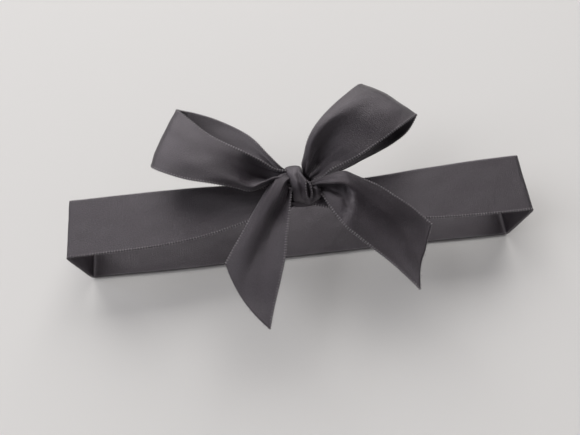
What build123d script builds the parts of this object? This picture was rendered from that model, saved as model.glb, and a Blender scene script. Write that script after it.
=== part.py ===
"""Gift-wrap bow: one length of satin ribbon taken round a shallow box and tied on top in a bow.

The box itself is not part of the model, so the wrap is an open hoop that stands on its lower run.
+X runs along the wrap, +Y across the ribbon towards the loops' side, +Z up.
The origin is the middle of the lower run's underside, where the wrapped box stands on a table.
All sizes are in millimetres. Each stretch of the ribbon is a solid of its own.
"""
from build123d import *
import os
from math import cos, radians, sin

# Ribbon and the box that it goes round
RIBBON_W = 25.0  # satin ribbon, width
RIBBON_T = 0.5  # thickness of one layer
BOX_L = 190.0  # box side along the wrap
BOX_H = 30.0  # box depth
EDGE_R = 1.0  # bend of the ribbon over the box's edges, inside
LID_Z = RIBBON_T + BOX_H  # plane that the upper run lies on
TOP_Z = LID_Z + RIBBON_T  # upper face of the upper run
HALF_L = BOX_L / 2
HALF_W = RIBBON_W / 2
DROP_REACH = 3.0  # how far a drop's bends reach in over the box

# Upper run: it narrows towards the knot, where the ribbon is drawn together
GATHER_FAR = 46.0  # distance from the knot where the narrowing begins
GATHER_LOW, GATHER_HIGH = -2.5, 11.0  # its two edges at the knot

# Knot
KNOT_X, KNOT_Y = 2.0, 6.0  # the knot's centre
HITCH_L, HITCH_W, HITCH_H = 12.0, 12.0, 1.5  # crossed half knot under the bow
HITCH_CORNER, HITCH_EDGE = 3.0, 0.6  # its rounded corners in plan and its sloped upper edge
WRAP_L = 8.0  # turn over the bow: its width along X
WRAP_RY, WRAP_RZ = 7.5, 4.0  # and its outer half sizes
WRAP_T = 1.2  # two ribbon layers with the air between
CORE_GAP = 0.1  # air between the turn and the gathered ribbon in it
CORE_L = 8.4  # gathered ribbon: its length along X
KNOT_Z = TOP_Z + HITCH_H + WRAP_RZ

# Limbs of the bow. Each one bends on a line across its root, beside the knot
HINGE_Z = KNOT_Z  # height of all four bending lines
ROOT_R = 1.6  # half the height of a gathered root
LOOP_ROOT, TAIL_ROOT = 8.0, 6.0  # widths of the gathered roots
LOOP_T = 0.6  # a loop's wall: one layer and its selvedges
INNER_COUNT = 15  # points of the curve inside a loop
TAIL_T = 0.6  # a tail's thickness
TAIL_FALL = 24.0  # distance over which a tail comes down from the knot
TAIL_DROP = 5.1  # how far below its bending line a tail's underside then lies
SPREAD = 60.0  # more than any limb's length or width, before the plan outline trims it
HIGHEST = 60.0  # above every limb

os.makedirs("parts", exist_ok=True)


def heading(angle):
    """The level direction in which a limb leaves the knot."""
    return Vector(cos(radians(angle)), sin(radians(angle)), 0)


def limb_plane(hinge, angle):
    """The upright plane along a limb: origin on its bending line, X outwards and Y up."""
    out = heading(angle)
    return Plane(origin=(hinge[0], hinge[1], HINGE_Z), x_dir=out, z_dir=out.cross(Vector(0, 0, 1)))


def limb_outline(hinge, angle, root_width, points):
    """A limb's outline in plan: the given points, closed by the two corners of its root."""
    out = heading(angle)
    side = Vector(-out.Y, out.X, 0)
    root = Vector(hinge[0], hinge[1], 0) - out * (ROOT_R + 0.1)
    right, left = root - side * root_width / 2, root + side * root_width / 2
    return [(right.X, right.Y), *points, (left.X, left.Y)]


def inner_points(edge, wall, count):
    """Points one wall's thickness inside a profile that runs round to the left, away from its ends."""
    steps = [(step + 1) / (count + 1) for step in range(count)]
    return [edge @ step + (edge % step).rotate(Axis.Z, 90) * wall for step in steps]


def plan_shape(outline):
    """An outline in plan as a face, to cut a part to by extruding it upwards."""
    with BuildSketch(Plane.XY) as plan:
        with BuildLine():
            Polyline(*outline, close=True)
        make_face()
    return plan.sketch


def hoop_section():
    """The whole closed wrap seen from the front, as a face on the XZ plane."""
    with BuildSketch(Plane.XZ) as section:
        with Locations((0, TOP_Z / 2)):
            RectangleRounded(BOX_L + 2 * RIBBON_T, BOX_H + 2 * RIBBON_T, EDGE_R + RIBBON_T)
            RectangleRounded(BOX_L, BOX_H, EDGE_R, mode=Mode.SUBTRACT)
    return section.sketch


def finish(piece, name):
    """Labels a finished piece and writes it to its file."""
    piece.part.label = name
    export_step(piece.part, f"parts/{name}.step")


# Wrap: lower run, two drops down the box's sides, two halves of the upper run

section = hoop_section()
lower_half = HALF_L - DROP_REACH

with BuildPart() as under_band:
    extrude(section, amount=HALF_W, both=True)
    with Locations((0, 0, RIBBON_T / 2)):
        Box(2 * lower_half, RIBBON_W, RIBBON_T, mode=Mode.INTERSECT)
finish(under_band, "under_band")

for name, side in (("left_drop", -1), ("right_drop", 1)):
    drop_w = DROP_REACH + RIBBON_T
    with BuildPart() as drop:
        extrude(section, amount=HALF_W, both=True)
        with Locations((side * (lower_half + drop_w / 2), 0, TOP_Z / 2)):
            Box(drop_w, RIBBON_W, TOP_Z, mode=Mode.INTERSECT)
    finish(drop, name)

for name, side in (("left_band", -1), ("right_band", 1)):
    far = side * lower_half
    bend = KNOT_X + side * GATHER_FAR
    outline = [
        (KNOT_X, GATHER_LOW),
        (bend, -HALF_W),
        (far, -HALF_W),
        (far, HALF_W),
        (bend, HALF_W),
        (KNOT_X, GATHER_HIGH),
    ]
    with BuildPart() as band:
        with BuildSketch(Plane.XY.offset(LID_Z)):
            with BuildLine():
                Polyline(*outline, close=True)
            make_face()
        extrude(amount=RIBBON_T)
    finish(band, name)

# Knot: the crossed half knot, the gathered ribbon and the turn round it

with BuildPart() as first_hitch:
    with BuildSketch(Plane.XY.offset(TOP_Z)):
        with Locations((KNOT_X, (GATHER_LOW + GATHER_HIGH) / 2)):
            RectangleRounded(HITCH_L, HITCH_W, HITCH_CORNER)
    extrude(amount=HITCH_H)
    chamfer(first_hitch.edges().group_by(Axis.Z)[-1], HITCH_EDGE)
finish(first_hitch, "first_hitch")

turn_start = Plane(origin=(KNOT_X - WRAP_L / 2, KNOT_Y, KNOT_Z), x_dir=(0, 1, 0), z_dir=(1, 0, 0))
with BuildPart() as knot_wrap:
    with BuildSketch(turn_start):
        Ellipse(WRAP_RY, WRAP_RZ)
        Ellipse(WRAP_RY - WRAP_T, WRAP_RZ - WRAP_T, mode=Mode.SUBTRACT)
    extrude(amount=WRAP_L)
finish(knot_wrap, "knot_wrap")

with BuildPart() as knot_core:
    with BuildSketch(turn_start.offset((WRAP_L - CORE_L) / 2)):
        inset = WRAP_T + CORE_GAP
        Ellipse(WRAP_RY - inset, WRAP_RZ - inset)
    extrude(amount=CORE_L)
finish(knot_core, "knot_core")

# Loops: each is a closed strap with its two sides open. The side profile runs from under the root
# round the fold and back to the root, and the plan outline holds both layers.

LOOPS = {
    "left_loop": {
        "hinge": (-6.2, 9.5),
        "angle": 156.0,
        "profile": [(18, -3), (40, -1.5), (51, 5), (37, 12), (18, 8)],
        "outline": [(-4.6, 13.2), (-11, 26), (-26, 40), (-50, 44), (-61, 19.5), (-55, 14.5), (-34, 8), (-19, 5)],
    },
    "right_loop": {
        "hinge": (10.3, 11.5),
        "angle": 38.0,
        "profile": [(16, -3), (34, -1.5), (44, 5), (29, 13.5), (14, 9)],
        "outline": [(12.5, 8.4), (21, 11), (40, 19), (54.5, 29.5), (38.5, 50), (16.5, 36.5), (7.5, 24), (7.0, 15)],
    },
}

for name, limb in LOOPS.items():
    with BuildPart() as loop:
        with BuildSketch(limb_plane(limb["hinge"], limb["angle"])):
            with BuildLine():
                ThreePointArc((0, ROOT_R), (-ROOT_R, 0), (0, -ROOT_R))
                outer = Spline((0, -ROOT_R), *limb["profile"], (0, ROOT_R))
            make_face()
            inner = inner_points(outer, LOOP_T, INNER_COUNT)
            with BuildLine():
                Spline(*inner)
                Line(inner[-1], inner[0])
            make_face(mode=Mode.SUBTRACT)
        extrude(amount=SPREAD, both=True)
        plan = plan_shape(limb_outline(limb["hinge"], limb["angle"], LOOP_ROOT, limb["outline"]))
        extrude(plan, amount=HIGHEST, mode=Mode.INTERSECT)
    finish(loop, name)

# Tails: one layer each, from a gathered root down to the box's lid, with a slanting cut end

TAILS = {
    "left_tail": {
        "hinge": (-6.3, 1.2),
        "angle": 243.0,
        "outline": [(-12.5, 2.2), (-21.5, -7.7), (-32.6, -23.9), (-16.3, -48.2), (-6.3, -19.4)],
    },
    "right_tail": {
        "hinge": (10.2, 2.8),
        "angle": 320.0,
        "outline": [(12.7, 0.2), (26.3, -18.9), (43.3, -41.5), (50.1, -17.9), (35, -0.5), (17.5, 5)],
    },
}

for name, limb in TAILS.items():
    with BuildPart() as tail:
        with BuildSketch(limb_plane(limb["hinge"], limb["angle"])):
            with BuildLine():
                ThreePointArc((0, ROOT_R), (-ROOT_R, 0), (0, -ROOT_R))
                under = Spline((0, -ROOT_R), (TAIL_FALL / 2, -TAIL_DROP / 2 - 1), (TAIL_FALL, -TAIL_DROP))
                over = Spline((0, ROOT_R), (TAIL_FALL / 2, 0.5 - TAIL_DROP / 2), (TAIL_FALL, TAIL_T - TAIL_DROP))
                Polyline(under @ 1, (SPREAD, -TAIL_DROP), (SPREAD, TAIL_T - TAIL_DROP), over @ 1)
            make_face()
        extrude(amount=SPREAD, both=True)
        plan = plan_shape(limb_outline(limb["hinge"], limb["angle"], TAIL_ROOT, limb["outline"]))
        extrude(plan, amount=HIGHEST, mode=Mode.INTERSECT)
    finish(tail, name)
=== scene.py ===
"""Black satin ribbon taken round a box (not shown) and tied in a bow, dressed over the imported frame.

The cloth is worked out in millimetres: x and y are the row's, h is the height above the lid plane that the
upper run lies on. Each stretch of ribbon is a grid of points: along the ribbon first, then across it.
"""
import math

import bpy
import numpy as np
from mathutils import Matrix, Vector


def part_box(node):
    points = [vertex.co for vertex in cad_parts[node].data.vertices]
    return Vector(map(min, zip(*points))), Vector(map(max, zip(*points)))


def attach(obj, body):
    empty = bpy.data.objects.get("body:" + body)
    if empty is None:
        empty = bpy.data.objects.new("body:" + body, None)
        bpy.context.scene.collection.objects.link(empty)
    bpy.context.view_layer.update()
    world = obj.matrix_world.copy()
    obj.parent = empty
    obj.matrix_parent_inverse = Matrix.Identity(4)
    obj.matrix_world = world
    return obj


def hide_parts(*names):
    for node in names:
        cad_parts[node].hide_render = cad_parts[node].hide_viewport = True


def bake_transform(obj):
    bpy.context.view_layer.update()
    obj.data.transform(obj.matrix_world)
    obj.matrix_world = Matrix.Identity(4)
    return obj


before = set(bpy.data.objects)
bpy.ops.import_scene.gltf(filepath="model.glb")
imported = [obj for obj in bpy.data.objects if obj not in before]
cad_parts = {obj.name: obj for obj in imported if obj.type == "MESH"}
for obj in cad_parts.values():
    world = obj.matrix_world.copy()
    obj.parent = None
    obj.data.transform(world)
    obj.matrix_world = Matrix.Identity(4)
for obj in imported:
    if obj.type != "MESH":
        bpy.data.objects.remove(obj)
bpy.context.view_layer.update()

MM = 0.001
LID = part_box("left_band")[0][2] / MM
LEFT_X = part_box("left_drop")[0][0] / MM
RIGHT_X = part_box("right_drop")[1][0] / MM

# The ribbon, in millimetres.
RIBBON_W = 25.0
RIBBON_T = 0.28
SELVEDGE_PITCH = 1.1

# The hoop round the box, in millimetres: heights are from the lid plane.
LID_LIFT = 0.25
FLOOR_H = -LID + 0.5
SIDE_H = -LID / 2
SIDE_GAP = 0.25
SIDE_BULGE = 0.2
CORNER_R = 1.0
CORNER_RUN = 5


# ---------------------------------------------------------------- camera, floor and lights

def aim_camera():
    """The viewing angle of the reference: high above the lid, a little to the left, and slightly rolled."""
    place = Vector((-0.01036, -0.08468, 0.2345))
    looks_at = Vector((-0.00429, -0.00469, 0.03))  # a point on the lid beside the knot
    roll = math.radians(-2.17)
    data = bpy.data.cameras.new("camera")
    data.sensor_width = 36
    data.lens = 33.17
    data.clip_start = 0.01
    camera = bpy.data.objects.new("camera", data)
    level = (looks_at - place).to_track_quat("-Z", "Y").to_matrix()
    camera.matrix_world = Matrix.Translation(place) @ (level @ Matrix.Rotation(roll, 3, "Z")).to_4x4()
    bpy.context.collection.objects.link(camera)
    bpy.context.scene.camera = camera


def area_light(name, place, size, power, colour):
    """A rectangular light aimed at the bow."""
    bow = (0, 0, 0.03)
    data = bpy.data.lights.new(name, "AREA")
    data.shape = "RECTANGLE"
    data.size, data.size_y = size
    data.energy = power
    data.color = colour
    lamp = bpy.data.objects.new(name, data)
    lamp.location = place
    aim = np.array(bow, float) - np.array(place, float)
    lamp.rotation_euler = Vector(aim).to_track_quat("-Z", "Y").to_euler()
    bpy.context.collection.objects.link(lamp)


def light_room():
    """A large soft window high in the north, a weak fill from the west, and a room that is pale low down."""
    area_light("window", (0.0, 2.8, 2.32), (4.4, 3.0), 148.8, (1.0, 0.985, 0.965))
    area_light("fill", (-2.4, 0.4, 2.0), (2.4, 2.4), 41.6, (0.98, 0.98, 1.0))
    world = bpy.data.worlds.new("room")
    world.use_nodes = True
    nodes, links = world.node_tree.nodes, world.node_tree.links
    sky = nodes["Background"]
    direction = nodes.new("ShaderNodeTexCoord")
    height = nodes.new("ShaderNodeSeparateXYZ")
    links.new(direction.outputs["Generated"], height.inputs["Vector"])
    ramp = nodes.new("ShaderNodeValToRGB")
    set_ramp(ramp, (0.06, (0.62, 0.61, 0.61, 1)), (0.75, (0.13, 0.126, 0.13, 1)))
    middle = ramp.color_ramp.elements.new(0.35)
    middle.color = (0.24, 0.235, 0.24, 1)
    links.new(height.outputs["Z"], ramp.inputs["Fac"])
    links.new(ramp.outputs["Color"], sky.inputs["Color"])
    sky.inputs["Strength"].default_value = 1.0
    bpy.context.scene.world = world
    bpy.context.scene.view_settings.view_transform = "Standard"


def lay_floor():
    """A plain pale floor under everything."""
    half = 4.0
    corners = [(-half, -half, 0), (half, -half, 0), (half, half, 0), (-half, half, 0)]
    mesh = bpy.data.meshes.new("floor")
    mesh.from_pydata(corners, [], [(0, 1, 2, 3)])
    floor = bpy.data.objects.new("floor", mesh)
    bpy.context.collection.objects.link(floor)
    material = bpy.data.materials.new("floor")
    material.use_nodes = True
    shader = material.node_tree.nodes["Principled BSDF"]
    shader.inputs["Base Color"].default_value = (0.72, 0.71, 0.70, 1)
    shader.inputs["Roughness"].default_value = 0.75
    mesh.materials.append(material)


# ---------------------------------------------------------------- satin

def set_ramp(node, low, high):
    """The two ends of a colour ramp, each a position and a colour."""
    for element, (position, colour) in zip(node.color_ramp.elements, (low, high)):
        element.position = position
        element.color = colour


class Weave:
    """A cloth material under construction, with node makers that read the ribbon's own millimetres."""

    def __init__(self, name):
        self.material = bpy.data.materials.new(name)
        self.material.use_nodes = True
        self.nodes = self.material.node_tree.nodes
        self.links = self.material.node_tree.links
        self.shader = self.nodes["Principled BSDF"]
        self.uv = self.nodes.new("ShaderNodeUVMap")
        self.uv.uv_map = "ribbon"

    def stretched_noise(self, scale, detail, seed):
        """Noise in ribbon millimetres: scale is across the ribbon, then along it."""
        mapping = self.nodes.new("ShaderNodeMapping")
        mapping.inputs["Scale"].default_value = (scale[0], scale[1], 1)
        mapping.inputs["Location"].default_value = (seed * 7.3, seed * 3.1, seed)
        self.links.new(self.uv.outputs["UV"], mapping.inputs["Vector"])
        noise = self.nodes.new("ShaderNodeTexNoise")
        noise.inputs["Scale"].default_value = 1.0
        noise.inputs["Detail"].default_value = detail
        self.links.new(mapping.outputs["Vector"], noise.inputs["Vector"])
        return noise.outputs["Fac"]

    def threads(self, pitch, direction):
        """Fine ribs of the given pitch in millimetres."""
        wave = self.nodes.new("ShaderNodeTexWave")
        wave.wave_type = "BANDS"
        wave.bands_direction = direction
        wave.inputs["Scale"].default_value = 2 * math.pi / (20 * pitch)
        wave.inputs["Distortion"].default_value = 0.6
        self.links.new(self.uv.outputs["UV"], wave.inputs["Vector"])
        return wave.outputs["Fac"]

    def math_node(self, operation, first, second):
        """first and second combined, where second is a number or another output."""
        node = self.nodes.new("ShaderNodeMath")
        node.operation = operation
        self.links.new(first, node.inputs[0])
        if isinstance(second, float):
            node.inputs[1].default_value = second
        else:
            self.links.new(second, node.inputs[1])
        return node.outputs[0]

    def mixed(self, *weighted):
        """The sum of outputs, each with its weight."""
        parts = [self.math_node("MULTIPLY", value, weight) for value, weight in weighted]
        out = parts[0]
        for part in parts[1:]:
            out = self.math_node("ADD", out, part)
        return out

    def colour_between(self, value, low, high):
        ramp = self.nodes.new("ShaderNodeValToRGB")
        set_ramp(ramp, low, high)
        self.links.new(value, ramp.inputs["Fac"])
        self.links.new(ramp.outputs["Color"], self.shader.inputs["Base Color"])

    def relief(self, height, strength, distance):
        bump = self.nodes.new("ShaderNodeBump")
        bump.inputs["Strength"].default_value = strength
        bump.inputs["Distance"].default_value = distance
        self.links.new(height, bump.inputs["Height"])
        self.links.new(bump.outputs["Normal"], self.shader.inputs["Normal"])


def satin():
    """Black polyester satin: warp threads along the ribbon, broad soft sheen, a fine grain in the light."""
    seed = 1
    cloth = Weave("black_satin")
    shader = cloth.shader
    shader.inputs["Anisotropic"].default_value = 0.85
    shader.inputs["Specular IOR Level"].default_value = 0.95
    shader.inputs["Specular Tint"].default_value = (0.99, 0.92, 1.0, 1)
    shader.inputs["Sheen Weight"].default_value = 0.12
    shader.inputs["Sheen Roughness"].default_value = 0.35
    shader.inputs["Sheen Tint"].default_value = (0.9, 0.84, 0.92, 1)

    tangent = cloth.nodes.new("ShaderNodeTangent")
    tangent.direction_type = "UV_MAP"
    tangent.uv_map = "ribbon"
    cloth.links.new(tangent.outputs["Tangent"], shader.inputs["Tangent"])

    warp = cloth.stretched_noise((4.0, 0.35), 3, seed)
    slub = cloth.stretched_noise((0.12, 0.05), 2, seed)
    grain = cloth.stretched_noise((3.6, 1.5), 4, seed)

    cloth.colour_between(
        cloth.mixed((warp, 0.2), (grain, 0.65), (slub, 0.15)),
        (0.44, (0.0042, 0.0032, 0.0040, 1)),
        (0.58, (0.025, 0.019, 0.024, 1)),
    )

    rough = cloth.nodes.new("ShaderNodeMapRange")
    rough.inputs["From Min"].default_value = 0.36
    rough.inputs["From Max"].default_value = 0.64
    rough.inputs["To Min"].default_value = 0.33
    rough.inputs["To Max"].default_value = 0.50
    cloth.links.new(cloth.mixed((grain, 0.6), (slub, 0.4)), rough.inputs["Value"])
    cloth.links.new(rough.outputs["Result"], shader.inputs["Roughness"])

    warp_ribs = cloth.threads(0.32, "X")
    weft_ribs = cloth.threads(0.8, "Y")
    height = cloth.mixed((warp_ribs, 0.5), (weft_ribs, 0.12), (grain, 2.8))
    cloth.relief(height, 0.6, 0.00014)
    return cloth.material


def picot_thread_painted_highlight():
    """The selvedge stitches: the same black yarn, tighter, with its base colour painted much lighter than
    the satin's as a painted highlight where the stitches catch the light.
    """
    yarn = Weave("picot_thread_painted_highlight")
    yarn.shader.inputs["Specular IOR Level"].default_value = 0.6
    yarn.shader.inputs["Sheen Weight"].default_value = 0.3
    yarn.shader.inputs["Sheen Tint"].default_value = (0.92, 0.88, 0.95, 1)
    yarn.shader.inputs["Roughness"].default_value = 0.42
    noise = yarn.nodes.new("ShaderNodeTexNoise")
    noise.inputs["Scale"].default_value = 1.7
    noise.inputs["Detail"].default_value = 3
    yarn.links.new(yarn.uv.outputs["UV"], noise.inputs["Vector"])
    twist_and_glint = noise.outputs["Fac"]
    # painted highlight: the light grey colour range stands in for light caught on the black stitches; the
    # noise spreads it into lighter and darker glints
    yarn.colour_between(twist_and_glint, (0.35, (0.075, 0.067, 0.073, 1)), (0.7, (0.25, 0.232, 0.244, 1)))
    yarn.relief(twist_and_glint, 0.5, 0.00006)
    return yarn.material


# ---------------------------------------------------------------- curves and grids

def run_along(line):
    """How far along a polyline each of its points is."""
    steps = np.linalg.norm(np.diff(line, axis=0), axis=1)
    return np.concatenate([[0], np.cumsum(steps)])


def at_marks(line, run, marks):
    """The points of a polyline at the given distances along it."""
    return np.stack([np.interp(marks, run, line[:, k]) for k in range(line.shape[1])], axis=-1)


def unit(vectors):
    length = np.linalg.norm(vectors, axis=-1, keepdims=True)
    return vectors / np.maximum(length, 1e-9)


def evenly(line, count):
    """The points that divide a fine polyline into equal lengths."""
    run = run_along(line)
    return at_marks(line, run, np.linspace(0, run[-1], count))


def smooth_curve(points, count):
    """A smooth centripetal curve through points, as count points evenly spaced along it."""
    points = np.array(points, float)
    if len(points) == 2:
        steps = np.linspace(0, 1, count)[:, None]
        return points[0] * (1 - steps) + points[1] * steps
    padded = np.vstack([2 * points[0] - points[1], points, 2 * points[-1] - points[-2]])
    fine = []
    for p0, p1, p2, p3 in zip(padded, padded[1:], padded[2:], padded[3:]):
        t0 = 0.0
        t1 = t0 + max(np.linalg.norm(p1 - p0), 1e-6) ** 0.5
        t2 = t1 + max(np.linalg.norm(p2 - p1), 1e-6) ** 0.5
        t3 = t2 + max(np.linalg.norm(p3 - p2), 1e-6) ** 0.5
        t = np.linspace(t1, t2, 24, endpoint=False)[:, None]
        a1 = (t1 - t) / (t1 - t0) * p0 + (t - t0) / (t1 - t0) * p1
        a2 = (t2 - t) / (t2 - t1) * p1 + (t - t1) / (t2 - t1) * p2
        a3 = (t3 - t) / (t3 - t2) * p2 + (t - t2) / (t3 - t2) * p3
        b1 = (t2 - t) / (t2 - t0) * a1 + (t - t0) / (t2 - t0) * a2
        b2 = (t3 - t) / (t3 - t1) * a2 + (t - t1) / (t3 - t1) * a3
        fine.append((t2 - t) / (t2 - t1) * b1 + (t - t1) / (t2 - t1) * b2)
    fine = np.vstack(fine + [points[-1:]])
    return evenly(fine, count)


def lofted(ribs, along, across):
    """A grid of along by across points through ribs that each run across the ribbon."""
    sections = np.array([smooth_curve(rib, across) for rib in ribs])
    return np.stack([smooth_curve(sections[:, column], along) for column in range(across)], axis=1)


def lofted_by_feature(ribs, along, across):
    """A grid through ribs of equally many points, whose columns are features that run along the ribbon."""
    features = np.array(ribs, float)
    runs = np.stack([smooth_curve(features[:, k], along) for k in range(features.shape[1])], axis=1)
    return np.array([smooth_curve(row, across) for row in runs])


def surface_normals(grid):
    return unit(np.cross(np.gradient(grid, axis=1), np.gradient(grid, axis=0)))


def gathered(grid, ends, pleats, depth, reach, drift=0.0):
    """Fine pleats that run out of the knot and die away: depth at the root, and how far they reach."""
    rows, columns = grid.shape[:2]
    run = run_along(grid[:, columns // 2])
    away = np.full(rows, 1e9)
    if "start" in ends:
        away = np.minimum(away, run)
    if "end" in ends:
        away = np.minimum(away, run[-1] - run)
    over = np.linspace(0, 1, columns)
    turn = 2 * math.pi * pleats * over[None, :] + drift * run[:, None]
    wave = np.sin(turn) + 0.3 * np.sin(2 * turn + 1.1) + 0.25 * np.sin(0.5 * turn + 0.4)
    fade = np.exp(-((away / reach) ** 1.3))
    edge = 0.35 + 0.65 * np.sin(math.pi * over)
    return grid + surface_normals(grid) * (wave * edge[None, :] * fade[:, None] * depth)[..., None]


def rumpled(grid, depth, seed):
    """Slight unevenness all over a stretch: a few long soft waves, mostly along the ribbon."""
    chance = np.random.default_rng(seed)
    rows, columns = grid.shape[:2]
    run = run_along(grid[:, columns // 2])
    over = np.linspace(0, RIBBON_W, columns)
    wave = np.zeros((rows, columns))
    for _ in range(9):
        across = 2 * math.pi / chance.uniform(7, 18)
        along = 2 * math.pi / chance.uniform(14, 45) * chance.choice([-1, 1])
        phase = chance.uniform(0, 2 * math.pi)
        wave += np.sin(across * over[None, :] + along * run[:, None] + phase) / 3
    return grid + surface_normals(grid) * (wave * depth)[..., None]


def cut_slanting(grid, start_share, end_share, bow=0.0):
    """The grid with its far end cut on a slant: each column keeps a share of its length."""
    rows, columns = grid.shape[:2]
    over = np.linspace(0, 1, columns)
    shares = start_share + (end_share - start_share) * over + bow * np.sin(math.pi * over)
    shortest = shares.min()
    out = np.empty_like(grid)
    steps = np.linspace(0, 1, rows)
    for column in range(columns):
        marks = (steps * shortest + (shares[column] - shortest) * steps**2.5) * (rows - 1)
        out[:, column] = at_marks(grid[:, column], np.arange(rows), marks)
    return out


def tucked(ribs, core, depth):
    """Ribs with both edges of the ribbon turned under, towards the line that the knot turns round."""
    out = []
    for rib in ribs:
        line = np.array(rib, float)
        inward = np.array(core, float) - line
        inward[:, 0] = 0
        inward = unit(inward)
        under = line + inward * depth
        first_lip = under[0] - inward[0] * 0.4 * depth
        last_lip = under[-1] - inward[-1] * 0.4 * depth
        before = [under[3], under[2], under[1], first_lip]
        after = [last_lip, under[-2], under[-3], under[-4]]
        out.append(before + list(line) + after)
    return out


def pleat_crests(ribs):
    """The crests of the knot's upright pleat, where the ribbon's edge shows, and the groove between them."""
    features = np.array(ribs, float)[4:9]
    return np.stack([smooth_curve(features[:, k], 40) for k in (9, 10, 11)], axis=1)


# ---------------------------------------------------------------- pieces

def make_piece(name, places, faces, flats, material):
    """A mesh object from points in x, y and h, each with its place on the flat ribbon as its UV."""
    place = np.array(places)
    place[:, 2] += LID
    mesh = bpy.data.meshes.new(name)
    mesh.from_pydata((place * MM).tolist(), [], faces)
    mesh.update()
    layer = mesh.uv_layers.new(name="ribbon")
    corners = np.zeros(len(mesh.loops), int)
    mesh.loops.foreach_get("vertex_index", corners)
    layer.data.foreach_set("uv", np.array(flats)[corners].ravel())
    mesh.materials.append(material)
    mesh.shade_smooth()
    piece = bpy.data.objects.new(name, mesh)
    bpy.context.collection.objects.link(piece)
    return piece


def piece_from_grid(name, grid, material):
    """A closed sheet of the ribbon's thickness about a grid."""
    rows, columns = grid.shape[:2]
    offset = surface_normals(grid) * (RIBBON_T / 2)
    places = np.concatenate([(grid + offset).reshape(-1, 3), (grid - offset).reshape(-1, 3)])

    size = rows * columns
    index = np.arange(size).reshape(rows, columns)
    quads = [index[:-1, :-1], index[:-1, 1:], index[1:, 1:], index[1:, :-1]]
    upper = np.stack(quads, axis=-1).reshape(-1, 4)
    lower = upper[:, ::-1] + size
    rim = np.concatenate([index[0, :], index[1:, -1], index[-1, -2::-1], index[-2:0:-1, 0]])
    after = np.roll(rim, -1)
    wall = np.stack([after, rim, rim + size, after + size], axis=-1)
    faces = np.concatenate([upper, lower, wall]).tolist()

    steps = np.linalg.norm(np.diff(grid, axis=0), axis=2).mean(axis=1)
    down = np.concatenate([[0], np.cumsum(steps)])
    over = np.linspace(0, RIBBON_W, columns)
    flat = np.stack(np.broadcast_arrays(over[None, :], down[:, None]), axis=-1).reshape(-1, 2)
    return make_piece(name, places, faces, np.concatenate([flat, flat]), material)


def strand_faces(first, rings, corners):
    """The faces of a strand made of rings of points, closed at both ends. Its points start at first."""
    faces = []
    for k in range(rings - 1):
        for corner in range(corners):
            a = first + k * corners + corner
            b = first + k * corners + (corner + 1) % corners
            faces.append((a, b, b + corners, a + corners))
    start = [first + corner for corner in range(corners)]
    faces.append(tuple(start[::-1]))
    faces.append(tuple(number + (rings - 1) * corners for number in start))
    return faces


def edge_picots(name, grid, material, reach_in=0.9):
    """The selvedge: a row of small raised stitches across each long edge, which they overhang a little."""
    reach_out = 0.32
    half_width = 0.31
    half_height = 0.30
    corners = 6
    swells = (0.45, 1.0, 0.45)
    places, faces, flats = [], [], []
    for side in (0, 1):
        edge, inner = (grid[:, 0], grid[:, 2]) if side == 0 else (grid[:, -1], grid[:, -3])
        run = run_along(edge)
        marks = np.arange(SELVEDGE_PITCH / 2, run[-1], SELVEDGE_PITCH)
        at = at_marks(edge, run, marks)
        along = unit(at_marks(edge, run, marks + 0.3) - at_marks(edge, run, marks - 0.3))
        inward = at_marks(inner, run, marks) - at
        inward = unit(inward - (inward * along).sum(axis=1, keepdims=True) * along)
        normal = np.cross(along, inward)
        for number, mark in enumerate(marks):
            faces += strand_faces(len(places), len(swells), corners)
            for k, swell in enumerate(swells):
                share = k / (len(swells) - 1)
                centre = at[number] + inward[number] * (reach_in * share - reach_out * (1 - share))
                over = reach_in * share if side == 0 else RIBBON_W - reach_in * share
                for corner in range(corners):
                    turn = 2 * math.pi * corner / corners
                    wide = along[number] * math.cos(turn) * half_width * swell
                    high = normal[number] * math.sin(turn) * half_height * swell
                    places.append(centre + wide + high)
                    flats.append((over, mark))
    return make_piece(name, places, faces, flats, material)


def frayed_cut(name, grid, material, seed):
    """Loose warp ends along the cut at the far end of a tail: fine tapered strands of uneven length."""
    pitch = 0.28
    corners = 4
    rings = ((-0.5, 1.0), (0.3, 1.0), (0.7, 0.75), (1.0, 0.3))
    upright = np.array([0, 0, 1.0])
    chance = np.random.default_rng(seed)
    edge = grid[-1]
    ahead = unit(grid[-1] - grid[-3])
    run = run_along(edge)
    places, faces, flats = [], [], []
    for mark in np.arange(0.3, run[-1] - 0.2, pitch):
        root = at_marks(edge, run, mark)
        way = at_marks(ahead, run, mark)
        side = unit(np.array([-way[1], way[0], 0.0]))
        lean = chance.uniform(-0.45, 0.45)
        length = chance.uniform(0.15, 0.55) * (1.9 if chance.random() < 0.12 else 1.0)
        lift = chance.uniform(-0.05, 0.25)
        thick = chance.uniform(0.045, 0.08)
        faces += strand_faces(len(places), len(rings), corners)
        for share, swell in rings:
            bend = share * share if share > 0 else 0
            centre = root + way * length * share + side * lean * length * bend
            centre = centre + upright * lift * length * bend
            for corner in range(corners):
                turn = math.pi / 2 * corner
                around = side * math.cos(turn) + upright * math.sin(turn)
                places.append(centre + around * thick * swell)
                flats.append((mark, share * length))
    return make_piece(name, places, faces, flats, material)


# ---------------------------------------------------------------- shapes, in millimetres: x, y, h

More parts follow.
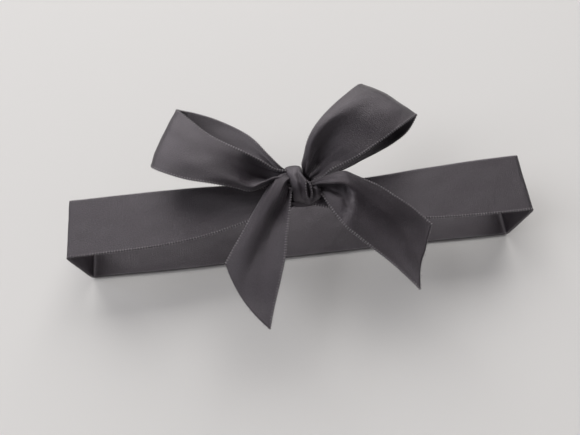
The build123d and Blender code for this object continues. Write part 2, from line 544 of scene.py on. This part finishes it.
LEFT_LOOP = [
    # under layer, from the knot out; each rib runs from the far edge to the near edge
    [(-2.6, 12.4, 7.0), (-2.9, 11.2, 4.6), (-3.0, 9.8, 6.2), (-2.9, 8.6, 4.2), (-2.6, 7.6, 5.6)],
    [(-5.6, 14.4, 7.6), (-6.2, 12.6, 4.8), (-6.6, 10.6, 6.0), (-6.8, 9.0, 3.8), (-6.6, 7.6, 5.0)],
    [(-10.9, 22.2, 7.0), (-11.8, 18.0, 4.6), (-12.4, 13.6, 5.2), (-12.8, 8.0, 3.6)],
    [(-16.4, 30.4, 6.2), (-18.6, 22.0, 3.8), (-19.6, 14.0, 4.4), (-20.2, 7.6, 3.4)],
    [(-22.6, 36.0, 5.8), (-26.0, 26.0, 3.4), (-27.6, 17.0, 3.2), (-28.6, 11.4, 3.6)],
    [(-31.0, 41.2, 6.2), (-35.0, 31.0, 3.8), (-37.8, 22.0, 3.4), (-39.4, 16.4, 4.0)],
    [(-39.6, 44.4, 7.8), (-44.0, 34.0, 5.4), (-47.4, 26.4, 4.8), (-49.4, 20.4, 5.2)],
    [(-44.6, 45.0, 9.8), (-49.4, 35.4, 8.0), (-53.4, 27.4, 7.2), (-55.8, 21.2, 7.0)],
    # the fold
    [(-46.7, 44.4, 12.0), (-51.0, 35.2, 12.6), (-54.9, 27.2, 12.4), (-57.8, 20.0, 11.0)],
    # upper layer, back to the knot
    [(-45.2, 42.2, 13.8), (-49.6, 33.6, 15.0), (-53.9, 25.2, 14.8), (-57.1, 17.6, 13.4)],
    [(-40.8, 37.0, 14.4), (-45.2, 29.0, 15.8), (-49.9, 21.0, 15.8), (-53.3, 14.8, 14.4)],
    [(-33.2, 29.0, 14.6), (-37.2, 22.4, 15.8), (-41.3, 15.3, 15.6), (-44.0, 10.6, 14.0)],
    [(-26.6, 24.2, 14.6), (-29.4, 19.0, 14.8), (-32.1, 12.4, 14.8), (-33.9, 8.0, 13.0)],
    [(-21.2, 20.8, 14.2), (-22.4, 17.0, 12.4), (-23.4, 12.2, 11.9), (-24.4, 8.0, 12.4), (-25.0, 6.6, 9.8)],
    [
        (-16.6, 18.0, 13.2), (-16.4, 15.6, 9.2), (-16.6, 11.8, 6.6),
        (-17.4, 8.0, 9.0), (-18.2, 5.8, 10.3), (-19.2, 5.4, 7.6),
    ],
    [
        (-12.2, 15.4, 11.8), (-11.6, 13.4, 7.8), (-11.6, 11.0, 5.2),
        (-12.2, 9.0, 7.6), (-13.2, 7.4, 10.6), (-14.2, 6.6, 7.8),
    ],
    [
        (-8.2, 12.9, 10.0), (-7.8, 11.8, 7.4), (-7.8, 10.6, 6.4),
        (-8.2, 9.9, 8.2), (-8.8, 9.2, 9.6), (-9.4, 8.4, 7.2),
    ],
    [
        (-5.0, 12.2, 9.4), (-5.0, 11.2, 7.2), (-5.0, 10.4, 8.2),
        (-5.2, 9.6, 6.6), (-5.4, 8.8, 8.2), (-5.6, 8.0, 6.0),
    ],
    [
        (-2.6, 12.0, 8.4), (-2.6, 11.0, 6.8), (-2.6, 10.2, 8.0),
        (-2.6, 9.2, 6.4), (-2.6, 8.4, 7.6), (-2.6, 7.4, 6.0),
    ],
]

RIGHT_LOOP = [
    # upper layer, from the knot out; each rib runs from the left edge to the right edge
    [(3.0, 10.0, 5.0), (3.6, 9.2, 6.4), (4.2, 8.6, 5.0), (4.8, 8.0, 5.8), (5.4, 7.4, 5.0), (6.0, 6.8, 5.2)],
    [(3.1, 11.6, 7.6), (3.8, 10.2, 9.4), (4.6, 9.4, 7.6), (5.4, 8.7, 8.4), (6.2, 8.0, 7.0), (7.0, 7.2, 7.0)],
    [
        (2.7, 13.6, 10.2), (4.6, 12.2, 11.9), (6.4, 11.8, 7.8),
        (8.0, 10.8, 8.4), (9.6, 9.4, 7.6), (10.8, 8.0, 7.8),
    ],
    [(3.8, 16.3, 13.0), (5.9, 15.2, 14.4), (8.6, 15.0, 8.2), (11.0, 13.2, 8.8), (14.6, 10.2, 9.4)],
    [(5.3, 20.0, 15.7), (7.5, 19.2, 17.0), (10.8, 18.7, 10.8), (15.2, 15.6, 10.8), (20.0, 12.0, 10.0)],
    [(8.2, 24.6, 17.5), (10.8, 23.2, 18.6), (14.8, 22.2, 13.9), (20.6, 18.4, 13.6), (27.2, 14.0, 12.6)],
    [(12.4, 29.4, 18.5), (15.2, 27.4, 19.5), (19.8, 25.8, 16.8), (26.4, 22.2, 15.4), (33.6, 17.4, 13.8)],
    [(18.2, 35.0, 18.0), (22.0, 32.2, 19.5), (27.4, 29.4, 18.3), (33.6, 25.4, 16.8), (39.8, 20.8, 14.6)],
    [(25.6, 41.2, 16.8), (30.4, 37.6, 18.8), (36.0, 33.2, 18.0), (41.6, 28.6, 16.6), (46.8, 25.2, 14.4)],
    [(30.4, 45.0, 15.4), (35.4, 41.6, 16.8), (41.0, 37.0, 16.4), (46.4, 32.2, 14.8), (51.2, 29.0, 12.4)],
    # the fold
    [(32.4, 46.6, 12.8), (37.8, 43.6, 12.8), (43.8, 38.8, 12.4), (49.0, 34.4, 11.6), (53.4, 31.0, 10.2)],
    # under layer, back to the knot
    [(31.6, 45.8, 9.4), (37.0, 42.4, 8.4), (43.0, 37.4, 7.6), (48.0, 33.0, 7.2), (52.6, 29.8, 7.8)],
    [(27.0, 41.6, 6.6), (33.0, 37.4, 5.2), (39.0, 32.6, 4.4), (44.4, 28.4, 4.4), (49.2, 26.0, 5.6)],
    [(20.6, 35.6, 5.2), (26.4, 31.4, 4.0), (32.0, 27.0, 3.4), (37.4, 22.8, 3.6), (42.2, 21.4, 5.0)],
    [(14.6, 29.4, 5.0), (19.8, 25.4, 3.8), (25.0, 21.4, 3.2), (30.2, 18.0, 3.6), (34.8, 18.0, 5.0)],
    [(10.0, 23.4, 5.2), (14.6, 20.0, 3.8), (19.0, 16.4, 3.6), (23.4, 13.8, 4.0), (27.4, 14.8, 5.2)],
    [(7.4, 18.0, 5.6), (10.6, 15.4, 4.2), (13.8, 12.8, 4.4), (17.0, 11.0, 4.6), (20.0, 11.8, 5.6)],
    [(5.8, 14.2, 6.0), (7.6, 12.4, 4.2), (9.6, 10.8, 5.4), (11.4, 9.2, 4.4), (13.4, 9.0, 6.0)],
    [(4.4, 12.6, 6.2), (5.2, 11.2, 4.4), (6.2, 10.2, 5.6), (7.0, 8.8, 4.4), (7.8, 8.0, 6.0)],
]

LEFT_TAIL = [
    # each rib: left edge, ridge, ridge's shoulder, its fall, the crease, the right strip, right edge
    [
        (-3.4, 12.0, 6.4), (-2.8, 11.0, 8.2), (-2.2, 9.8, 8.2), (-1.6, 8.6, 6.6),
        (-1.2, 7.6, 5.2), (-0.8, 6.6, 5.6), (-0.4, 5.8, 5.0),
    ],
    [
        (-8.2, 11.2, 6.6), (-6.8, 9.8, 8.8), (-5.2, 8.2, 9.2), (-3.8, 7.2, 7.6),
        (-3.0, 6.4, 5.2), (-2.5, 5.6, 5.4), (-2.2, 4.8, 6.0),
    ],
    [
        (-11.2, 7.4, 6.8), (-9.6, 6.0, 9.0), (-7.2, 5.0, 9.4), (-5.4, 4.4, 7.6),
        (-4.2, 3.8, 4.6), (-3.3, 2.8, 5.0), (-2.8, 2.2, 6.0),
    ],
    [
        (-14.4, 3.2, 6.2), (-12.6, 1.8, 8.6), (-10.0, 0.9, 8.8), (-7.8, 0.4, 6.8),
        (-6.2, -0.2, 3.6), (-4.7, -1.2, 4.4), (-3.7, -2.0, 5.6),
    ],
    [
        (-18.4, -2.2, 5.0), (-16.0, -3.6, 7.4), (-13.4, -4.4, 7.2), (-11.2, -4.9, 4.6),
        (-9.4, -5.6, 2.4), (-7.0, -6.9, 3.6), (-5.1, -8.0, 4.8),
    ],
    [
        (-22.4, -8.4, 4.6), (-19.6, -10.0, 6.4), (-17.0, -11.0, 5.8), (-14.8, -11.8, 3.8),
        (-12.8, -12.5, 2.6), (-9.4, -13.7, 3.6), (-6.6, -15.2, 4.8),
    ],
    [
        (-27.2, -15.2, 3.4), (-24.4, -16.8, 4.8), (-21.6, -18.2, 4.4), (-19.0, -19.4, 3.0),
        (-16.4, -20.5, 2.5), (-12.2, -21.8, 3.0), (-8.1, -23.1, 4.2),
    ],
    [
        (-32.0, -22.3, 2.0), (-28.6, -23.9, 2.9), (-25.4, -25.4, 2.9), (-22.4, -26.8, 2.2),
        (-19.0, -28.3, 2.0), (-14.8, -30.1, 2.4), (-11.0, -31.9, 3.0),
    ],
    [
        (-37.6, -29.8, 1.0), (-33.8, -31.6, 1.1), (-30.2, -33.4, 1.1), (-26.6, -35.2, 0.9),
        (-22.8, -37.0, 0.9), (-18.2, -39.2, 0.9), (-14.2, -41.0, 1.3),
    ],
    [
        (-43.0, -38.0, 1.0), (-39.0, -40.2, 1.0), (-34.6, -42.4, 1.0), (-30.2, -44.6, 0.9),
        (-26.0, -46.6, 0.9), (-21.2, -48.8, 0.9), (-17.0, -50.4, 0.9),
    ],
]

RIGHT_TAIL = [
    # each rib: upper edge, bright strip, its lip, under the lip, the bottom of the pocket, lower part,
    # lower edge
    [
        (5.4, 6.8, 6.4), (5.5, 6.0, 7.6), (5.6, 5.2, 7.2), (5.5, 5.8, 5.8),
        (5.5, 5.2, 4.8), (5.6, 4.2, 4.4), (5.7, 3.2, 4.8), (5.8, 2.2, 5.4),
    ],
    [
        (9.4, 8.0, 7.0), (9.4, 6.5, 8.6), (9.3, 5.2, 8.4), (9.2, 6.2, 6.4),
        (9.2, 5.4, 4.6), (9.2, 4.2, 4.2), (9.1, 3.2, 4.8), (8.9, 2.0, 5.2),
    ],
    [
        (14.0, 9.2, 7.8), (13.8, 6.6, 10.0), (13.5, 4.0, 9.8), (13.3, 5.8, 7.2),
        (13.3, 5.6, 5.2), (13.2, 3.6, 4.9), (12.7, 0.2, 5.5), (11.8, -3.4, 4.6),
    ],
    [
        (19.8, 9.6, 8.2), (19.3, 6.6, 10.6), (18.8, 3.0, 10.2), (18.4, 5.0, 7.4),
        (18.4, 4.8, 5.8), (18.0, 1.9, 5.2), (16.8, -3.2, 5.9), (14.8, -8.8, 3.8),
    ],
    [
        (23.0, 7.6, 8.4), (21.8, 4.6, 10.4), (20.8, 1.8, 10.0), (20.3, 2.0, 8.0),
        (20.0, 0.8, 6.4), (19.4, -1.6, 5.6), (18.2, -6.0, 5.4), (16.2, -11.0, 3.6),
    ],
    [
        (26.6, 5.6, 7.8), (24.6, 2.6, 9.6), (23.0, 0.0, 9.0), (22.2, -1.4, 8.2),
        (21.6, -3.0, 7.2), (20.8, -5.6, 6.4), (19.6, -9.4, 5.2), (17.8, -13.4, 3.4),
    ],
    [
        (33.2, 2.4, 6.0), (30.2, -0.6, 7.2), (27.6, -3.6, 6.8), (26.2, -5.6, 6.2),
        (25.0, -7.8, 5.6), (24.0, -10.4, 5.0), (22.8, -14.0, 4.0), (21.8, -17.6, 2.8),
    ],
    [
        (40.2, -2.9, 4.0), (37.0, -6.2, 4.8), (34.2, -9.6, 4.4), (32.2, -12.4, 4.0),
        (30.6, -15.0, 3.4), (29.2, -18.0, 2.8), (28.0, -20.6, 2.4), (27.2, -23.0, 2.0),
    ],
    [
        (45.6, -7.0, 2.2), (42.2, -11.0, 2.8), (39.2, -15.0, 2.6), (37.2, -18.0, 2.4),
        (35.6, -20.8, 2.0), (34.2, -23.6, 1.8), (33.2, -26.2, 1.5), (32.6, -28.4, 1.3),
    ],
    [
        (51.0, -13.2, 1.1), (47.4, -17.8, 1.5), (44.4, -22.2, 1.5), (42.4, -25.0, 1.4),
        (40.8, -28.0, 1.2), (39.6, -30.8, 1.1), (38.6, -33.2, 1.0), (38.0, -35.0, 1.0),
    ],
    [
        (56.0, -19.4, 1.0), (52.4, -24.4, 1.0), (49.4, -29.0, 1.0), (47.4, -31.8, 1.0),
        (45.8, -34.8, 1.0), (44.6, -37.8, 0.9), (43.8, -40.4, 0.9), (43.2, -42.2, 0.9),
    ],
]

KNOT_TURN = [
    # from behind the knot, over it and down in front. Each rib: the left panel, the small upright pleat
    # beside it and the right panel, which is darker and lower.
    [
        (-2.6, 12.4, 1.4), (-1.8, 12.6, 1.4), (-0.6, 12.8, 1.4), (0.6, 12.8, 1.4),
        (1.4, 12.8, 1.4), (2.0, 12.7, 1.4), (2.6, 12.6, 1.4), (3.2, 12.4, 1.4),
        (3.8, 12.2, 1.4), (4.6, 11.8, 1.4), (5.4, 11.4, 1.4),
    ],
    [
        (-4.2, 13.8, 5.0), (-3.2, 14.3, 5.4), (-1.4, 14.6, 5.4), (0.4, 14.6, 5.4),
        (1.6, 14.4, 5.2), (2.2, 14.1, 5.0), (2.8, 13.9, 4.8), (3.4, 13.6, 4.6),
        (4.0, 13.2, 4.4), (4.6, 12.6, 4.2), (5.2, 12.0, 4.0),
    ],
    [
        (-4.6, 13.3, 7.4), (-3.7, 13.8, 8.2), (-1.8, 14.0, 8.6), (0.4, 13.9, 8.7),
        (1.6, 13.6, 8.5), (2.2, 13.3, 8.0), (2.8, 13.1, 6.0), (3.4, 12.8, 5.2),
        (4.0, 12.4, 4.8), (4.8, 11.8, 4.4), (5.4, 11.2, 4.0),
    ],
    [
        (-3.8, 10.8, 8.2), (-3.1, 10.9, 9.2), (-1.4, 11.0, 9.9), (0.4, 10.9, 9.9),
        (1.6, 10.6, 10.0), (2.2, 10.3, 9.4), (2.7, 10.2, 7.2), (3.4, 10.0, 6.2),
        (4.0, 9.7, 5.6), (5.0, 9.4, 5.2), (5.8, 9.2, 4.8),
    ],
    [
        (-2.8, 7.9, 8.2), (-2.1, 7.9, 9.4), (-0.6, 7.8, 10.3), (1.0, 7.5, 9.6),
        (2.4, 7.4, 10.7), (3.1, 7.3, 10.3), (3.5, 7.3, 8.2), (4.0, 7.2, 8.0),
        (4.6, 7.2, 7.2), (6.0, 7.1, 6.6), (7.2, 6.8, 5.8),
    ],
    [
        (-2.2, 5.4, 7.8), (-1.6, 5.3, 9.0), (0.0, 5.2, 10.1), (1.4, 5.1, 9.2),
        (2.7, 5.3, 10.4), (3.4, 5.6, 10.9), (3.8, 5.4, 8.0), (4.5, 5.4, 9.9),
        (5.2, 5.3, 9.4), (5.8, 5.2, 6.6), (7.2, 5.3, 7.6),
    ],
    [
        (-1.8, 3.7, 6.8), (-1.1, 3.5, 8.2), (0.2, 3.3, 9.3), (1.5, 3.2, 8.2),
        (2.5, 3.2, 9.0), (3.1, 3.3, 9.7), (4.2, 3.3, 6.0), (5.2, 3.3, 9.3),
        (5.9, 3.4, 6.2), (7.3, 3.2, 7.6), (8.6, 2.8, 6.2),
    ],
    [
        (-1.8, 2.3, 5.4), (-1.1, 1.9, 6.8), (0.2, 1.6, 7.8), (1.5, 1.4, 6.7),
        (2.5, 1.5, 7.2), (3.2, 1.6, 8.1), (4.3, 1.5, 5.0), (5.4, 1.6, 7.8),
        (6.1, 1.7, 5.2), (7.5, 1.6, 6.8), (8.9, 1.0, 5.2),
    ],
    [
        (-2.0, 1.3, 3.8), (-1.1, 0.8, 4.9), (0.2, 0.4, 5.6), (1.5, 0.2, 5.4),
        (2.6, 0.3, 5.2), (3.6, 0.4, 5.9), (4.4, 0.3, 5.6), (5.1, 0.4, 5.6),
        (5.9, 0.5, 4.6), (7.2, 0.4, 4.8), (8.4, 0.5, 4.0),
    ],
    [
        (-1.8, 1.0, 2.6), (-0.8, 0.4, 3.2), (0.4, 0.0, 3.6), (1.6, -0.4, 3.7),
        (2.8, -0.8, 3.8), (3.7, -1.1, 4.0), (4.3, -1.2, 3.9), (4.9, -1.0, 3.8),
        (5.6, -0.6, 3.5), (6.6, -0.1, 3.3), (7.6, 0.4, 3.0),
    ],
    [
        (-1.2, 1.6, 1.4), (-0.4, 1.2, 1.4), (0.6, 0.8, 1.4), (1.6, 0.5, 1.4),
        (2.6, 0.3, 1.4), (3.4, 0.1, 1.4), (4.2, 0.0, 1.4), (4.9, 0.1, 1.4),
        (5.5, 0.3, 1.4), (6.2, 0.7, 1.4), (6.9, 1.2, 1.4),
    ],
]

# The line that the knot's turn goes round.
KNOT_LINE = (2.0, 6.0, 4.5)


def straight_rib(x, edges, h):
    return [(x, edges[0], h), (x, edges[1], h)]


def side_of_box(edge, inward):
    """The path down one side of the box, as x and h: inward is 1 at the left side and -1 at the right."""
    return [
        (edge + inward * (CORNER_R + CORNER_RUN), LID_LIFT),
        (edge + inward * CORNER_R, LID_LIFT),
        (edge + inward * 0.3 * CORNER_R, LID_LIFT - 0.3 * CORNER_R),
        (edge, -CORNER_R),
        (edge - inward * SIDE_BULGE, SIDE_H),
        (edge, FLOOR_H + CORNER_R),
        (edge + inward * 0.3 * CORNER_R, FLOOR_H + 0.3 * CORNER_R),
        (edge + inward * CORNER_R, FLOOR_H),
        (edge + inward * (CORNER_R + CORNER_RUN), FLOOR_H),
    ]


def wrap_ribs():
    """The closed wrap: the left run and drop, the run under the box, the right drop and run."""
    left_edges = (13.0, -11.9)
    under_edges = (12.5, -12.5)
    right_edges = (12.0, -13.0)
    ribs = [
        [(0.5, 9.6, 2.6), (0.5, 7.4, 1.4), (0.5, 4.8, 2.4), (0.5, 2.4, 1.2), (0.5, 0.0, 1.8)],
        [(-6.0, 8.2, 3.4), (-6.0, 5.6, 1.6), (-6.0, 3.0, 2.4), (-6.0, 0.8, 1.0), (-6.0, -2.0, 1.4)],
        [(-12.0, 8.4, 3.2), (-12.0, 5.0, 1.6), (-12.4, 1.6, 1.6), (-12.6, -3.4, 1.8)],
        [(-18.4, 9.8, 1.8), (-18.6, 5.4, 1.2), (-19.0, 1.0, 1.2), (-19.4, -4.8, 1.8)],
        [(-25.5, 11.6, 0.9), (-26.0, 6.0, 0.9), (-26.4, 0.0, 0.9), (-26.6, -6.6, 1.4)],
        [(-34.0, 12.4, 0.5), (-34.0, 6.0, 0.6), (-34.0, 0.0, 0.6), (-34.6, -8.4, 0.9)],
        [(-46.0, 12.9, 0.3), (-46.0, 4.4, 0.4), (-46.0, -4.0, 0.4), (-46.0, -10.2, 0.5)],
        [(-60.0, y, LID_LIFT) for y in (13.1, 4.4, -4.0, -11.3)],
        straight_rib(-76.0, (13.1, -11.7), LID_LIFT),
    ]
    ribs += [straight_rib(x, left_edges, h) for x, h in side_of_box(LEFT_X + SIDE_GAP, 1)]
    ribs += [straight_rib(x, under_edges, FLOOR_H) for x in (-60, -20, 20, 60)]
    ribs += [straight_rib(x, right_edges, h) for x, h in reversed(side_of_box(RIGHT_X - SIDE_GAP, -1))]
    ribs += [
        straight_rib(76.0, (11.7, -12.9), LID_LIFT),
        [(62.0, y, LID_LIFT) for y in (11.0, 3.0, -5.0, -12.5)],
        [(50.0, 10.4, 0.3), (50.0, 3.0, 0.4), (50.0, -5.0, 0.4), (50.0, -11.7, 0.4)],
        [(38.0, 9.4, 0.5), (38.0, 3.0, 0.6), (38.0, -4.0, 0.6), (38.0, -10.0, 0.6)],
        [(27.0, 8.8, 0.9), (27.0, 3.0, 0.9), (27.0, -3.0, 0.9), (27.0, -7.6, 0.9)],
        [(17.0, 8.8, 1.6), (17.0, 5.0, 1.2), (17.0, 0.6, 1.2), (17.0, -4.6, 1.4)],
        [(9.0, 9.2, 2.6), (9.0, 6.0, 1.2), (9.0, 2.4, 2.0), (9.0, -2.0, 1.2)],
        [(2.5, 9.8, 3.2), (2.5, 7.4, 2.0), (2.5, 4.8, 3.0), (2.5, 2.4, 1.8), (2.5, 0.0, 2.4)],
    ]
    return ribs


def bundle_ribs():
    """The ribbon inside the knot, from the left roots to the right ones, crushed into pleats."""
    depth = 1.7
    middles = (
        (-4.2, 8.6, 5.6, 3.9),
        (-1.0, 7.6, 5.6, 3.6),
        (2.4, 6.8, 5.6, 3.4),
        (6.0, 6.8, 5.4, 3.8),
        (9.0, 6.6, 5.2, 3.9),
    )
    ribs = []
    for x, y, h, half in middles:
        rib = []
        for k in range(11):
            over = k / 10 * 2 - 1
            up = (1 if k % 2 else -1) * depth * (1 - 0.35 * over * over)
            rib.append((x + 0.12 * half * over, y - half * over, h + up + 0.25 * math.sin(3.1 * k + x)))
        ribs.append(rib)
    return ribs


def hitch_ribs():
    """The first crossing, under the knot: a crushed band across the wrap from side to side."""
    depth = 1.25
    middles = (
        (-4.6, 4.9, 1.6, 4.7),
        (-1.5, 5.3, 2.4, 6.2),
        (2.5, 5.3, 2.7, 6.7),
        (6.5, 5.0, 2.4, 6.2),
        (9.4, 4.2, 1.6, 4.9),
    )
    ribs = []
    for x, y, h, half in middles:
        rib = []
        for k in range(9):
            over = k / 8 * 2 - 1
            up = (1 if k % 2 else -1) * depth * (1 - 0.5 * abs(over))
            rib.append((x - 0.1 * half * over, y - half * over, h + up - 0.6 * over * over))
        ribs.append(rib)
    return ribs


# ---------------------------------------------------------------- building


def limb(name, grid):
    """One loop or tail: its ribbon and selvedges, and for a tail the frayed cut."""
    grid = rumpled(grid, 0.09, len(name) + ord(name[0]))
    ribbon = piece_from_grid(name + "_ribbon", grid, skin)
    extras = [edge_picots(name + "_selvedge", grid, stitches)]
    if name.endswith("tail"):
        extras.append(frayed_cut(name + "_fray", grid, stitches, len(name)))
    for piece in [ribbon] + extras:
        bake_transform(piece)
    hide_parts(name)


def on_wrap(name, grid, nodes, extras=()):
    """A stretch of ribbon that stays with the wrap."""
    ribbon = piece_from_grid(name, grid, skin)
    for piece in [ribbon, *extras]:
        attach(piece, "wrap")
    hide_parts(*nodes)


def build_loops():
    both = ("start", "end")
    left = gathered(lofted(LEFT_LOOP, 190, 49), both, pleats=4.3, depth=0.55, reach=11, drift=0.05)
    limb("left_loop", left)
    right = gathered(lofted(RIGHT_LOOP, 180, 49), both, pleats=4.6, depth=0.50, reach=11, drift=-0.04)
    limb("right_loop", right)


def build_tails():
    root = ("start",)
    left = lofted_by_feature(LEFT_TAIL, 100, 57)
    left = gathered(left, root, pleats=3.8, depth=0.5, reach=12, drift=0.04)
    limb("left_tail", cut_slanting(left, 0.70, 0.985, bow=0.012))
    right = lofted_by_feature(RIGHT_TAIL, 100, 65)
    right = gathered(right, root, pleats=4.1, depth=0.45, reach=12, drift=-0.05)
    limb("right_tail", cut_slanting(right, 0.905, 0.975))


def build_knot():
    turn_ribs = tucked(KNOT_TURN, KNOT_LINE, depth=0.9)
    hem = edge_picots("knot_turn_selvedge", pleat_crests(turn_ribs), stitches, reach_in=0.22)
    turn = lofted_by_feature(turn_ribs, 80, 141)
    on_wrap("knot_turn", turn, ["knot_wrap"], [hem])
    on_wrap("knot_bundle", lofted(bundle_ribs(), 40, 121), ["knot_core"])
    on_wrap("hitch_ribbon", lofted(hitch_ribs(), 50, 91), ["first_hitch"])


def build_wrap():
    grid = lofted(wrap_ribs(), 700, 37)
    grid = gathered(grid, ("start", "end"), pleats=2.6, depth=0.45, reach=22, drift=0.02)
    grid = rumpled(grid, 0.045, 5)
    selvedge = edge_picots("wrap_ribbon_selvedge", grid, stitches)
    nodes = ["under_band", "left_drop", "right_drop", "left_band", "right_band"]
    on_wrap("wrap_ribbon", grid, nodes, [selvedge])


aim_camera()
lay_floor()
light_room()
skin = satin()
stitches = picot_thread_painted_highlight()
build_loops()
build_tails()
build_knot()
build_wrap()
